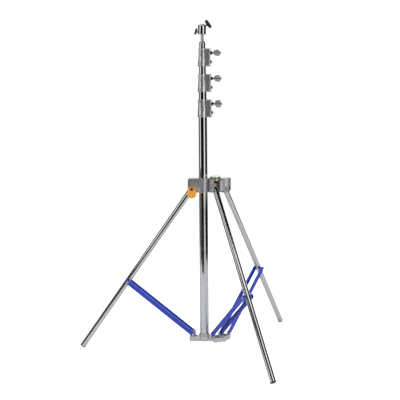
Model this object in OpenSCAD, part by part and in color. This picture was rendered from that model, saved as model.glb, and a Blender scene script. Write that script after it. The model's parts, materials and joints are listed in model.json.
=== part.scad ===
// Studio stand: a steel column of three telescoping risers in a base tube, carried by a sliding
// leg casting with three folding legs and blue braces, with a small clamping head on top.
// Millimetres, +Z up, floor at z = 0. The footprint of the three feet is centred on the origin.
// The column stands a little to one side of that centre, as the pivots of the legs lie in a row.

/* [Column] */
// Outer diameter of the base tube
base_od = 50; // [46:1:54]
// Difference in diameter between one tube and the next one inside it
tube_step = 5; // [4.5:0.25:6]
// Wall of every tube of the column
tube_wall = 1.5; // [1.2:0.1:1.6]
// Height of the underside of the lowest clamping collar
first_collar_z = 1310; // [1250:1:1400]
// Distance from one collar to the next with the risers pushed in
collar_pitch = 137; // [110:1:180]
// Height of one collar
collar_h = 96; // [84:1:106]
// Height of the lower sleeve of a collar, which holds the fixed tube
collar_step = 48; // [42:1:56]
// Length of the guide sleeve at the foot of each riser
guide_h = 110; // [60:1:160]
// Height of the top tube above the top collar
top_tube_rise = 18; // [10:1:40]

/* [Collars] */
// Wall of the lower sleeve of a collar
sleeve_wall = 3.6; // [3:0.1:5]
// Wall of the upper sleeve of a collar
neck_wall = 2.5; // [2:0.1:4]
// Wall of the plastic bush in the upper sleeve
bush_wall = 1.6; // [1.2:0.1:2]
// Width that each lip stands out from the collar
lip = 2.4; // [1.5:0.1:4]
// Thickness of each lip
lip_t = 4; // [3:0.5:6]
// Distance from the fixed tube to the end face of the clamping block
block_reach = 25; // [20:1:32]
// Width of the clamping block
block_w = 34; // [28:1:36]
// Radius of the upright outer edges of the block
block_edge = 6; // [3:0.5:9]
// Turn of all collars about the column, seen from above
clamp_turn = -10; // [-30:1:30]
// Distance of each screw from the nearer lip face
screw_inset = 24; // [18:1:28]
// Diameter of the closing bolt of each collar
collar_bolt_d = 7; // [6:0.5:8]

/* [Knobs] */
// Diameter of the clamping screws
screw_d = 9; // [8:0.5:10]
// Free screw between the block and the handle of a knob
screw_free = 15; // [10:1:20]
// Length of a T handle along its screw
handle_l = 42; // [36:1:50]
// Span of a T handle across its screw
handle_w = 45; // [38:1:50]
// Thickness of the wings of a T handle
handle_t = 11; // [9:0.5:14]
// Diameter of the round core of a T handle
handle_core_d = 18; // [16:0.5:22]
// Distance from the inner end of a T handle to the inner corners of its wings
wing_foot = 10; // [8:0.5:12]
// Distance from the inner end of a T handle to the outer corners of its wings
wing_top = 28; // [24:0.5:30]
// Solid end of a T handle, past the hole for its screw
handle_end = 12; // [10:1:16]
// Turn of the lowest T handle from upright
base_handle_turn = 20; // [-90:1:90]
// Turn of the middle T handle from upright
riser_1_handle_turn = 37; // [-90:1:90]
// Turn of the highest T handle from upright
riser_2_handle_turn = 45; // [-90:1:90]

/* [Legs] */
// Diameter of a leg
leg_od = 32; // [28:1:33]
// Wall of a leg
leg_wall = 1.5; // [1.2:0.1:2.5]
// Length of a leg from its pivot to the lower end of its tube
leg_len = 1104; // [1000:1:1110]
// Lean of an open leg from upright
leg_tilt = 35; // [25:1:40]
// Length of a leg above its pivot
leg_head = 26; // [24:0.5:27]
// Distance along a leg from its pivot to the brace joint
brace_at = 641; // [600:1:680]
// Outer diameter of the steel sleeve through a leg at the brace joint
sleeve_od = 16; // [14:0.5:18]
// Length of the plug inside the top of a leg
plug_in = 13; // [8:0.5:13]
// Thickness of the disc of each foot, below the end of its leg
foot_t = 4.2; // [3:0.2:8]
// How far the disc of a foot stands out round its leg
foot_lip = 0.8; // [0.4:0.1:1.6]
// Height cut off the edge that each foot stands on
foot_flat = 1; // [0.5:0.1:1.5]
// Length of the plug of a foot inside its leg
foot_in = 24; // [16:1:40]

/* [Leg casting] */
// Distance of the left leg's pivot to the left of the column
left_pivot_x = 62; // [60:0.5:64]
// Distance of the left leg's pivot in front of the column
left_pivot_y = 2; // [0:0.5:4]
// Distance of the front leg's pivot to the right of the column
front_pivot_x = 66; // [64:0.5:68]
// Distance of the front leg's pivot in front of the column
front_pivot_y = 30; // [28:0.5:32]
// Distance of the rear leg's pivot to the right of the column
rear_pivot_x = 119; // [117:0.5:122]
// Distance of the rear leg's pivot behind the column
rear_pivot_y = 14; // [13:0.5:16]
// Direction of the left leg from above; the other two follow at 120 degrees
left_leg_turn = 176; // [170:1:180]
// Half of the gap between the two ears of a leg
ear_gap = 19; // [18.8:0.1:20]
// Thickness of an ear
ear_t = 6; // [5:0.5:7]
// Distance from the leg pivots down to the underside of the casting
ear_drop = 19; // [16:1:24]
// Distance that an ear stands out past its pivot
ear_out = 22; // [18:1:30]
// Distance that an ear runs in past its pivot
ear_in = 45; // [40:1:48]
// Chamfer on the top outer corner of an ear
ear_chamfer = 6; // [4:1:16]
// Distance from the leg pivots up to the top of the casting
casting_rise = 58; // [48:1:60]
// Thickness of the top plate of the casting
roof_t = 9; // [6:1:14]
// Wall of the orange plastic bush in the casting
spider_bush_wall = 2.3; // [2:0.1:2.8]
// Wall of the hub around the bush
hub_wall = 3.1; // [2.8:0.1:3.6]
// Height of the clamping screw of the casting above the leg pivots
lock_rise = 15; // [12:1:20]
// Width of the square boss around that screw
lock_w = 20; // [18:1:24]
// Distance from the middle of the column to the end of that boss
lock_end = 44; // [40:1:48]

/* [Level] */
// Diameter of the base of the spirit level
level_d = 60; // [50:1:64]
// Height of the base of the spirit level
level_h = 9; // [6:0.5:14]
// Height that the bubble glass stands above its base
glass_h = 6; // [3:0.5:8]
// Width of the rim of the base around the glass
level_rim = 4; // [3:0.5:6]
// Depth that the glass sits in its base
level_seat = 4; // [2:0.5:5]

/* [Braces] */
// Width of a brace bar
bar_w = 25; // [22:1:26]
// Depth of the channel of a brace bar
bar_depth = 7.7; // [6:0.1:8]
// Sheet thickness of a brace bar
bar_sheet = 2; // [1.5:0.1:3]
// Height of the lower brace pivots
low_pivot_z = 92; // [90:1:100]
// Diameter of the brace bolts and the leg bolts
bolt_d = 10; // [8:0.5:10]

/* [Lower casting] */
// Height of the underside of the lower casting
low_z = 50; // [40:1:56]
// Height of the side walls of the lower casting
low_h = 25; // [20:1:28]
// Thickness of the floor of the lower casting
low_floor = 6; // [5:0.5:9]
// Thickness of the side walls of the lower casting
low_wall = 3.3; // [3:0.1:4]
// Distance that each arm runs out past its pivot
low_out = 22; // [18:1:28]
// Diameter of the hub of the lower casting
low_hub_od = 62; // [60:1:66]
// Height of the hub of the lower casting
low_hub_h = 40; // [38:1:48]
// Distance that each arm runs in past its pivot
low_inner = 40; // [38:1:44]
// Diameter of the bolt across the hub
cross_bolt_d = 8; // [6:0.5:9]
// Height of the bolt across the hub above the side walls
cross_bolt_rise = 7; // [6.8:0.1:8]

/* [Head] */
// Diameter of the spigot that carries the head
spigot_d = 16; // [15.8:0.1:16.2]
// Diameter of the socket in the top of the head
socket_d = 16.3; // [16.2:0.05:16.6]
// Depth of the socket
socket_deep = 26; // [20:1:28]
// Diameter of the head
head_d = 45; // [40:1:50]
// Height of the head without its boss
head_h = 52; // [50:1:60]
// Free length of the spigot below the head
spigot_free = 34; // [24:1:50]
// Diameter of the boss on top of the head
boss_d = 25; // [23:0.5:30]
// Height of the boss on top of the head
boss_h = 5; // [3:0.5:8]
// Rise of the axis of the upper clamping screw
upper_screw_rise = 36; // [30:1:40]
// Span of the bar of the upper clamping screw
t_bar_l = 50; // [36:1:56]
// Diameter of that bar
t_bar_d = 18; // [12:0.5:19]
// Rise of the axis of the lower wing screw
lower_screw_rise = 16; // [10:1:20]
// Span of the wings of the lower screw
wing_l = 34; // [26:1:40]
// Thickness of those wings
wing_d = 11.5; // [8:0.5:12]

/* [Tag] */
// Diameter of the round end of the orange tag
tag_d = 50; // [40:1:54]
// Distance from the bolt to the middle of the round end
tag_drop = 26; // [20:1:32]
// Thickness of the tag
tag_t = 3; // [2:0.5:4]
// Distance that the neck of the tag is set in from its round end on each side
tag_waist = 3; // [1:0.5:8]
// Corner radius at the bolt end of the tag
tag_corner = 10; // [8:1:12]

/* [Fits] */
// Radial gap of a piece that turns or slides on its shaft
run = 0.08; // [0.05:0.01:0.1]
// Radial gap of a piece that is fixed in its seat
seat = 0.05; // [0.03:0.01:0.08]
// Gap between flat faces of pieces that move on each other
slip = 0.3; // [0.2:0.05:0.5]
// Gap between the tip of a screw or bolt and what turns or slides past it
tip_gap = 0.2; // [0.1:0.05:0.3]

/* [Hidden] */
$fn = 64;
LEGS = ["left", "front", "rear"];

// Outer radius of tube k, from the base tube (0) to the top riser (3)
function tube_r(k) = (base_od - k * tube_step) / 2;
function bore_r(k) = tube_r(k) - tube_wall;
// Underside of the collar on tube k
function collar_z(k) = first_collar_z + k * collar_pitch;
// Top end of tube k, which stops at the step inside its collar
function tube_top(k) = k < 3 ? collar_z(k) + collar_step : collar_z(2) + collar_h + top_tube_rise;
guide_floor = 4;
plug_h = 36;
casting_seat = 4;
tube_bottom = low_z + casting_seat;
plug_top = tube_bottom + plug_h;
// Underside of the guide of riser k, resting on what is below it
function guide_z(k) = plug_top + slip + (k - 1) * (guide_floor + slip);
// Full travel of riser k, up to the bush in the collar around it
function riser_travel(k) = tube_top(k - 1) - guide_z(k) - guide_h - slip;

function bush_or(k) = tube_r(k + 1) + run + bush_wall;
function neck_r(k) = bush_or(k) + seat + neck_wall;
function sleeve_r(k) = tube_r(k) + seat + sleeve_wall;
function block_end(k) = tube_r(k) + block_reach;
screw_r = screw_d / 2;
handle_turns = [base_handle_turn, riser_1_handle_turn, riser_2_handle_turn];
core_r = handle_core_d / 2;
collar_bolt_r = collar_bolt_d / 2;
// Collar of a clamping screw, and head of a collar's bolt
nut_h = 8.5;
nut_r = 9.5;
// Heads and nuts of the pivot bolts
bolt_r = bolt_d / 2;
bolt_head_r = 8;
bolt_head_h = 5;
hex_r = 9;
hex_head_h = 6.5;
hex_nut_h = 8;
bolt_tail = 10;
// Cap of the top riser
cap_h = 21;
cap_cone = 8;
cap_in = 30;
cap_step = 6;
// Extra length of a cut past the face that it opens
over = 1;

// The three legs, in the order left, front and rear
pivot_x = [-left_pivot_x, front_pivot_x, rear_pivot_x];
pivot_y = [-left_pivot_y, -front_pivot_y, rear_pivot_y];
sleeve_r = sleeve_od / 2;
leg_turns = [left_leg_turn, left_leg_turn + 120, left_leg_turn + 240];
leg_r = leg_od / 2;
foot_r = leg_r + foot_lip;
foot_end = leg_len + foot_t;
leg_reach = foot_end * sin(leg_tilt) - foot_r * cos(leg_tilt);
pivot_z = foot_end * cos(leg_tilt) + foot_r * sin(leg_tilt) - foot_flat;
plug_flange = 6;
plug_rim_r = ear_gap - 2 * slip;
joint_reach = brace_at * sin(leg_tilt);
joint_z = pivot_z - brace_at * cos(leg_tilt);
brace_len = norm([joint_reach, joint_z - low_pivot_z]);
brace_tilt = atan2(joint_reach, joint_z - low_pivot_z);
// Rise of the leg casting when the legs are folded against the column
fold_travel = low_pivot_z + brace_len + brace_at - pivot_z;

// Foot positions about the column, and the middle of the footprint
foot_x = [for (k = [0:2]) pivot_x[k] + leg_reach * cos(leg_turns[k])];
foot_y = [for (k = [0:2]) pivot_y[k] + leg_reach * sin(leg_turns[k])];
mid_x = (min(foot_x) + max(foot_x)) / 2;
mid_y = (min(foot_y) + max(foot_y)) / 2;

// Leg casting: faces of the ears, heights, and the webs that tie the ears to the hub
ear_out_n = ear_gap + ear_t;
roof_z = pivot_z + casting_rise - roof_t;
casting_top = pivot_z + casting_rise;
ear_low = pivot_z - ear_drop;
// Machined pads stand proud of the cast faces: below the hub and on top of the plate
pad = 0.6;
hub_low = ear_low - pad;
spine_low = roof_z - pad;
leg_room = 30.6;
roof_rim = 4;
spine_y = -12;
spine_w = 34;
spine_inset = 20;
web_rise = 7;
rear_web = [16, 14, 8];
front_web = [26, -10, 24, 6];
rear_web_inset = 37;
level_margin = 1;
level_glass_r = level_d / 2 - level_rim;
tag_collar_r = bolt_r + 1.5;
// Lower casting: the lugs, the bars beside them, and the walls that tie the arms to the hub
low_gap = 18;
low_face = low_gap + low_wall;
bar_in = low_face + slip;
bar_out = bar_in + bar_depth;
bar_r = bar_w / 2;
bar_boss_r = 9;
lug_r = 12;
lug_web = 6;
lug_root = 3;
lug_step = 0.2;
low_foot = 2;
low_pocket = [38, -1, 46, 15];
foot_room = 22.6;
cross_bolt_z = low_z + low_h + cross_bolt_rise;
cross_bolt_r = cross_bolt_d / 2;
cross_head_r = 7.5;
cross_head_h = 6;
cross_nut_h = 7;
low_bed = 40;
bed_inset = 26;
low_web = [24, -12, 28];
lock_z = pivot_z + lock_rise;
spider_bush_r = base_od / 2 + run + spider_bush_wall;
hub_r = spider_bush_r + seat + hub_wall;
// Machined spots under the heads and nuts of the leg bolts, and the room around those
spot = 0.2;
spot_y = ear_out_n - spot;
spot_r = hex_r + 1.2;
spot_h = 7.2;

// The head
spigot_r = spigot_d / 2;
cap_top = tube_top(3) + cap_h;
head_z = cap_top + spigot_free;
head_top = head_z + head_h;
socket_top = head_top + boss_h;
spigot_in = 22;
head_screw_r = 4;
head_edge = 4;
// Middles of the two screws' bars beside the head, and their necks
upper_bar_x = 33;
upper_bar_z = socket_top;
t_neck_r = 6.5;
t_neck_in = 11;
lower_bar_x = 34;
lower_bar_rise = 17.5;
lower_bar_z = head_z + lower_bar_rise;
wing_neck_r = 5.5;
wing_neck_in = 7;

chrome = [0.78, 0.79, 0.8];
cast = [0.66, 0.67, 0.68];
steel = [0.5, 0.51, 0.52];
dark = [0.12, 0.12, 0.13];
blue = [0.15, 0.22, 0.62];
orange = [0.93, 0.58, 0.13];
black = [0.08, 0.08, 0.08];
pale_green = [0.75, 0.9, 0.7];

// Moves a piece from the frame of the column to the frame of the whole stand
module stand() {
    translate([-mid_x, -mid_y, 0])
        children();
}

// Frame of leg k: x runs out along the leg, y across it, z up, with the pivots at x = 0
module at_leg(k) {
    translate([pivot_x[k], pivot_y[k], 0])
        rotate([0, 0, leg_turns[k]])
            children();
}

// Frame along leg k: z runs up the leg from its pivot
module along_leg(k) {
    at_leg(k)
        translate([0, 0, pivot_z])
            rotate([0, -leg_tilt, 0])
                children();
}

// Frame along brace k: z runs up the brace from its lower pivot
module along_brace(k) {
    at_leg(k)
        translate([0, 0, low_pivot_z])
            rotate([0, brace_tilt, 0])
                children();
}

// Puts a cylinder along +x, from x = a to x = b
module x_rod(r, a, b, n = 48) {
    translate([a, 0, 0])
        rotate([0, 90, 0])
            cylinder(r = r, h = b - a, $fn = n);
}

// Puts a cylinder along +y, from y = a to y = b
module y_rod(r, a, b, n = 48) {
    translate([0, a, 0])
        rotate([-90, 0, 0])
            cylinder(r = r, h = b - a, $fn = n);
}

module tube(r_out, r_in, z_low, z_high) {
    translate([0, 0, z_low])
        difference() {
            cylinder(r = r_out, h = z_high - z_low, $fn = 96);
            translate([0, 0, -1])
                cylinder(r = r_in, h = z_high - z_low + 2, $fn = 96);
        }
}

// Base tube and what is fixed to it

module base_tube() {
    color(chrome) stand()
        difference() {
            tube(tube_r(0), bore_r(0), tube_bottom, tube_top(0));
            translate([0, 0, cross_bolt_z])
                y_rod(cross_bolt_r + seat, -base_od, base_od);
        }
}

module base_plug() {
    color(black) stand()
        difference() {
            translate([0, 0, tube_bottom])
                cylinder(r = bore_r(0) - seat, h = plug_h);
            translate([0, 0, cross_bolt_z])
                y_rod(cross_bolt_r + seat, -base_od, base_od);
        }
}

// Plan of the lower casting: three arms, the hub, the bed between them and a web between two arms
module low_plan() {
    circle(r = low_hub_od / 2 + low_foot);
    translate([pivot_x[0], pivot_y[0] - low_bed / 2])
        square([pivot_x[2] - pivot_x[0] - bed_inset, low_bed]);
    translate([pivot_x[1] + low_web[0], pivot_y[1] + low_web[1]])
        square([low_web[2], low_wall]);
    for (k = [0:2])
        translate([pivot_x[k], pivot_y[k]])
            rotate(leg_turns[k])
                translate([-low_inner, -low_face])
                    square([low_inner + low_out, 2 * low_face]);
}

// Outline of one lug of the lower casting with its gusset, up from the middle of the floor
module low_lug() {
    top = low_pivot_z - low_z - low_floor / 2;
    wall_top = low_h - low_floor / 2;
    translate([-lug_r, 0]) square([2 * lug_r, top]);
    translate([0, top]) circle(r = lug_r);
    polygon([[-lug_r - lug_web - lug_root, wall_top - lug_root], [-lug_r, wall_top + lug_web],
        [0, wall_top + lug_web], [0, wall_top - lug_root]]);
}

module lower_casting() {
    color(cast) stand()
        difference() {
            union() {
                translate([0, 0, low_z])
                    linear_extrude(low_h) low_plan();
                translate([0, 0, low_z + low_floor / 2])
                    cylinder(r = low_hub_od / 2, h = low_hub_h - low_floor / 2);
                for (k = [0:2], side = [0, 1])
                    at_leg(k)
                        mirror([0, side, 0])
                            translate([0, low_face - lug_step, low_z + low_floor / 2])
                                rotate([90, 0, 0])
                                    linear_extrude(low_wall) low_lug();
            }
            translate([0, 0, tube_bottom])
                cylinder(r = tube_r(0) + seat, h = low_hub_h, $fn = 96);
            translate([0, 0, cross_bolt_z])
                y_rod(cross_bolt_r + seat, -base_od, base_od);
            translate([low_pocket[0], low_pocket[1], low_z + low_floor])
                cube([low_pocket[2], low_pocket[3], low_h]);
            for (k = [0:2]) at_leg(k) {
                translate([-foot_room, -low_gap, low_z + low_floor])
                    cube([foot_room + low_out - low_wall, 2 * low_gap, low_pivot_z]);
                translate([0, 0, low_pivot_z])
                    y_rod(bolt_r + seat, -low_face - over, low_face + over);
            }
        }
}

// Screw with a domed head, on an axis that is +y: shaft from a to b, head past b
module domed_bolt(r, a, b, r_head, h_head) {
    rim = 0.4 * h_head;
    y_rod(r, a, b);
    translate([0, b, 0])
        rotate([-90, 0, 0])
            rotate_extrude($fn = 48) {
                square([r_head, rim]);
                translate([0, rim])
                    intersection() {
                        scale([1, (h_head - rim) / r_head]) circle(r = r_head, $fn = 64);
                        square([r_head, h_head]);
                    }
            }
}

module hex_nut(r_out, r_in, y0, h) {
    difference() {
        y_rod(r_out, y0, y0 + h, 6);
        y_rod(r_in, y0 - over, y0 + h + over);
    }
}

module casting_bolt() {
    side = low_hub_od / 2;
    color(steel) stand()
        translate([0, 0, cross_bolt_z]) {
            y_rod(cross_bolt_r, -side, side + cross_nut_h + over);
            y_rod(cross_head_r, -side - cross_head_h, -side, 6);
            hex_nut(cross_head_r, cross_bolt_r + seat, side, cross_nut_h);
        }
}

module lower_pivot_bolts() {
    color(chrome) stand()
        for (k = [0:2])
            for (side = [0, 1])
                at_leg(k)
                    mirror([0, side, 0])
                        translate([0, 0, low_pivot_z])
                            domed_bolt(bolt_r, low_gap + tip_gap, bar_out + slip, bolt_head_r, bolt_head_h);
}

// Collars

// Plan of a collar: a round sleeve and a block with rounded outer edges, both grown by e
module collar_plan(k, r, e) {
    xe = block_end(k) + e;
    hw = block_w / 2 + e;
    ed = block_edge + e;
    circle(r = r + e, $fn = 96);
    translate([0, -hw]) square([xe - ed, 2 * hw]);
    translate([0, -hw + ed]) square([xe, 2 * (hw - ed)]);
    for (side = [-1, 1])
        translate([xe - ed, side * (hw - ed)]) circle(r = ed, $fn = 48);
}

module collar(k) {
    z0 = collar_z(k);
    color(cast) stand()
        rotate([0, 0, clamp_turn])
            difference() {
                union() {
                    translate([0, 0, z0]) linear_extrude(lip_t) collar_plan(k, sleeve_r(k), lip);
                    translate([0, 0, z0]) linear_extrude(collar_step) collar_plan(k, sleeve_r(k), 0);
                    translate([0, 0, z0]) linear_extrude(collar_h) collar_plan(k, neck_r(k), 0);
                    translate([0, 0, z0 + collar_h - lip_t])
                        linear_extrude(lip_t) collar_plan(k, neck_r(k), lip);
                }
                translate([0, 0, z0 - over])
                    cylinder(r = tube_r(k) + seat, h = collar_step + over, $fn = 96);
                translate([0, 0, z0])
                    cylinder(r = bush_or(k) + seat, h = collar_h + over, $fn = 96);
                translate([0, 0, z0 + collar_h - screw_inset])
                    x_rod(screw_r + run, 0, block_end(k) + lip + over);
                translate([0, 0, z0 + screw_inset])
                    x_rod(collar_bolt_r + seat, 0, block_end(k) + lip + over);
            }
}

module collar_bush(k) {
    color(black) stand()
        tube(bush_or(k), tube_r(k + 1) + run, tube_top(k), collar_z(k) + collar_h);
}

module collar_bolt(k) {
    color(steel) stand()
        rotate([0, 0, clamp_turn - 90])
            translate([0, 0, collar_z(k) + screw_inset])
                domed_bolt(collar_bolt_r, tube_r(k) + seat, block_end(k), nut_r, nut_h);
}

// Frame of the clamping screw of collar k: x runs out along the screw
module at_knob(k) {
    rotate([0, 0, clamp_turn])
        translate([0, 0, collar_z(k) + collar_h - screw_inset])
            children();
}

// Clamping screw from its tip to the inside of its handle, with a round collar near the block
module clamp_screw(tip, face) {
    edge = 1;
    x_rod(screw_r, tip, face + screw_free + handle_l - handle_end - slip);
    translate([face + slip, 0, 0])
        rotate([0, 90, 0])
            rotate_extrude($fn = 48)
                polygon([[0, 0], [nut_r, 0], [nut_r, nut_h - edge], [nut_r - edge, nut_h], [0, nut_h]]);
}

// T handle: a round core with two rounded wings, its inner end at x = 0
module t_handle() {
    wing_r = handle_t / 2;
    foot_r2 = wing_r - 0.6;
    taper = 3;
    nose = 5;
    l = handle_l;
    difference() {
        union() {
            rotate([0, 90, 0])
                rotate_extrude($fn = 48)
                    polygon([[0, 0], [core_r - taper / 2, 0], [core_r, taper], [core_r, l - nose],
                        [core_r - nose / 3, l - nose / 3], [core_r - nose, l], [0, l]]);
            hull()
                for (side = [-1, 1]) {
                    translate([wing_foot, 0, side * (handle_w / 2 - wing_r - taper)])
                        sphere(r = foot_r2, $fn = 22);
                    translate([wing_top, 0, side * (handle_w / 2 - wing_r)])
                        sphere(r = wing_r, $fn = 22);
                }
        }
        x_rod(screw_r + seat, -over, l - handle_end);
    }
}

module knob_screw(k) {
    color(steel) stand() at_knob(k)
        clamp_screw(bush_or(k) + seat, block_end(k));
}

module knob_handle(k) {
    color(cast) stand() at_knob(k)
        translate([block_end(k) + screw_free, 0, 0])
            rotate([handle_turns[k], 0, 0])
                t_handle();
}

// Risers

module riser_tube(k) {
    color(chrome) stand()
        tube(tube_r(k), bore_r(k), guide_z(k) + guide_floor, tube_top(k));
}

// Plastic guide that closes the foot of a riser and slides in the tube around it
module riser_guide(k) {
    r = bore_r(k - 1) - run;
    color(black) stand()
        difference() {
            translate([0, 0, guide_z(k)])
                cylinder(r = r, h = guide_h, $fn = 96);
            translate([0, 0, guide_z(k) + guide_floor])
                cylinder(r = tube_r(k) + seat, h = guide_h, $fn = 96);
        }
}

module riser_3_cap() {
    r = tube_r(3);
    color(chrome) stand()
        translate([0, 0, tube_top(3)])
            rotate_extrude($fn = 96)
                polygon([[0, -cap_in], [bore_r(3) - seat, -cap_in], [bore_r(3) - seat, 0], [r, 0],
                    [r, cap_h - cap_cone], [r - cap_step, cap_h], [0, cap_h]]);
}

module spigot() {
    color(cast) stand()
        translate([0, 0, cap_top])
            cylinder(r = spigot_r, h = spigot_free + spigot_in - slip);
}

// Leg casting, which slides on the base tube

// Outline of the arm over one leg, x out along the leg and y up: its sides become the two ears
module ear_outline() {
    outer = ear_out - ear_drop;
    low = -ear_drop;
    top = casting_rise - pad;
    polygon([[-ear_in, low], [outer, low], [outer, 0], [ear_out, 0], [ear_out, top - ear_chamfer],
        [ear_out - ear_chamfer, top], [-ear_in, top]]);
    translate([outer, 0]) circle(r = ear_drop);
}

// Plan of the top plate of the leg casting: hub, seat of the level, and the spine between them
module roof_plan() {
    circle(r = hub_r + roof_rim, $fn = 96);
    translate([pivot_x[1], pivot_y[1]]) circle(r = level_d / 2 + level_margin, $fn = 96);
    translate([0, spine_y]) square([pivot_x[2] - spine_inset, spine_w]);
}

module leg_casting() {
    web_z = ear_low + web_rise;
    color(cast) stand()
        difference() {
            union() {
                translate([0, 0, hub_low])
                    cylinder(r = hub_r, h = spine_low + pad - hub_low, $fn = 96);
                translate([0, 0, spine_low])
                    linear_extrude(casting_top - spine_low) roof_plan();
                for (k = [0:2])
                    at_leg(k)
                        translate([0, ear_out_n, pivot_z])
                            rotate([90, 0, 0])
                                linear_extrude(2 * ear_out_n) ear_outline();
                translate([rear_web[0], rear_web[1], web_z])
                    cube([pivot_x[2] - rear_web_inset, rear_web[2], roof_z - web_z]);
                translate([pivot_x[1] + front_web[0], pivot_y[1] + front_web[1], web_z])
                    cube([front_web[2], front_web[3], roof_z - web_z]);
                translate([-lock_w / 2, 0, lock_z - lock_w / 2])
                    cube([lock_w, lock_end, lock_w]);
            }
            for (k = [0:2]) at_leg(k) {
                translate([-leg_room, -ear_gap, hub_low - over])
                    cube([leg_room + 2 * ear_out, 2 * ear_gap, roof_z - hub_low + over]);
                translate([0, 0, pivot_z]) {
                    y_rod(bolt_r + seat, -ear_out_n - over, ear_out_n + over);
                    for (side = [0, 1])
                        mirror([0, side, 0])
                            translate([0, spot_y, 0]) {
                                y_rod(spot_r, 0, spot_h);
                                translate([-spot_r, 0, -ear_drop - over])
                                    cube([2 * spot_r, spot_h, ear_drop + over]);
                            }
                }
            }
            translate([0, 0, hub_low - over])
                cylinder(r = spider_bush_r + seat, h = casting_top, $fn = 96);
            translate([0, 0, lock_z])
                y_rod(screw_r + run, 0, lock_end + over);
        }
}

module casting_bush() {
    rim = 2;
    color(orange) stand() {
        tube(spider_bush_r, tube_r(0) + run, hub_low, casting_top);
        tube(spider_bush_r + rim, tube_r(0) + run, hub_low - rim, hub_low);
    }
}

module at_casting_knob() {
    rotate([0, 0, 90])
        translate([0, 0, lock_z])
            children();
}

module casting_knob_screw() {
    color(steel) stand() at_casting_knob()
        clamp_screw(spider_bush_r + seat, lock_end);
}

module casting_knob_handle() {
    color(cast) stand() at_casting_knob()
        translate([lock_end + screw_free, 0, 0])
            rotate([90, 0, 0])
                t_handle();
}

module at_level() {
    translate([pivot_x[1], pivot_y[1], casting_top])
        children();
}

module level_base() {
    r = level_d / 2;
    edge = 1.5;
    rim_r = level_glass_r + seat;
    seat_z = level_h - level_seat;
    color(dark) stand() at_level()
        rotate_extrude($fn = 96)
            polygon([[0, 0], [r, 0], [r, level_h - edge], [r - edge, level_h], [rim_r, level_h],
                [rim_r, seat_z], [0, seat_z]]);
}

module level_glass() {
    r = level_glass_r;
    top = glass_h + level_seat;
    edge = 2;
    crown = 0.6;
    color(pale_green) stand() at_level()
        translate([0, 0, level_h - level_seat])
            rotate_extrude($fn = 96)
                polygon([[0, 0], [r, 0], [r, top - edge], [r - edge, top - crown],
                    [r - 4 * edge, top], [0, top]]);
}

// Length of the collar of a leg bolt's nut: on the left leg the tag swings on it
function nut_collar(k) = k == 0 ? tag_t + 2 * slip + spot : 0;
// The bolt of the front leg points the other way, as its nut has no room beside the rear leg
function bolt_side(k) = k == 1 ? 1 : 0;

module leg_pivot_bolts() {
    color(chrome) stand()
        for (k = [0:2])
            at_leg(k)
                translate([0, 0, pivot_z])
                    mirror([0, bolt_side(k), 0]) {
                        nut_y = spot_y + nut_collar(k);
                        y_rod(bolt_r, -spot_y, nut_y + bolt_tail);
                        y_rod(hex_r, -spot_y - hex_head_h, -spot_y, 6);
                        hex_nut(hex_r, bolt_r + seat, nut_y, hex_nut_h);
                        if (nut_collar(k) > 0)
                            tube_y(bolt_r + seat, tag_collar_r, spot_y, nut_y);
                    }
}

// Short ring along +y, from y = a to y = b
module tube_y(r_in, r_out, a, b) {
    difference() {
        y_rod(r_out, a, b);
        y_rod(r_in, a - over, b + over);
    }
}

module orange_tag() {
    neck = tag_d / 2 - tag_waist;
    color(orange) stand() at_leg(0)
        translate([0, ear_out_n + slip, pivot_z])
            rotate([-90, 0, 0])
                difference() {
                    linear_extrude(tag_t) {
                        translate([0, tag_drop]) circle(r = tag_d / 2, $fn = 96);
                        translate([-neck, 0]) square([2 * neck, tag_drop]);
                        translate([tag_corner - neck, -tag_corner])
                            square([2 * (neck - tag_corner), tag_corner]);
                        for (side = [-1, 1])
                            translate([side * (neck - tag_corner), 0]) circle(r = tag_corner);
                    }
                    translate([0, 0, -over])
                        cylinder(r = tag_collar_r + run, h = tag_t + 2 * over);
                }
}

// Legs

module leg_tube(k) {
    color(chrome) stand() along_leg(k)
        difference() {
            tube(leg_r, leg_r - leg_wall, -leg_len, leg_head - plug_flange);
            y_rod(bolt_r + run, -leg_od, leg_od);
            translate([0, 0, -brace_at]) y_rod(sleeve_r + seat, -leg_od, leg_od);
        }
}

// Orange plug with a rim that closes the top of a leg
module leg_plug(k) {
    r = leg_r - leg_wall - seat;
    edge = 2;
    color(orange) stand() along_leg(k)
        translate([0, 0, leg_head - plug_flange])
            rotate_extrude($fn = 64)
                polygon([[0, -plug_in], [r, -plug_in], [r, 0], [plug_rim_r, 0],
                    [plug_rim_r, plug_flange - edge], [plug_rim_r - edge, plug_flange], [0, plug_flange]]);
}

// Rubber foot: a plug inside the end of the leg, and a disc whose edge is cut flat where it stands
module leg_foot(k) {
    r = leg_r - leg_wall - seat;
    edge = 1;
    below = 2 * foot_r;
    color(black)
        difference() {
            stand() along_leg(k)
                translate([0, 0, -leg_len])
                    rotate_extrude($fn = 96)
                        polygon([[0, -foot_t], [foot_r, -foot_t], [foot_r, 0], [r, 0],
                            [r, foot_in - edge], [r - edge, foot_in], [0, foot_in]]);
            translate([-2 * leg_len, -2 * leg_len, -below])
                cube([4 * leg_len, 4 * leg_len, below]);
        }
}

// Steel sleeve through a leg, whose ends the two brace bars lie against
module leg_sleeve(k) {
    color(steel) stand() along_leg(k)
        translate([0, 0, -brace_at])
            tube_y(bolt_r, sleeve_r, -low_gap, low_gap);
}

// Braces

module bar_outline(r) {
    translate([-r, 0]) square([2 * r, brace_len]);
    circle(r = r);
    translate([0, brace_len]) circle(r = r);
}

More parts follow.
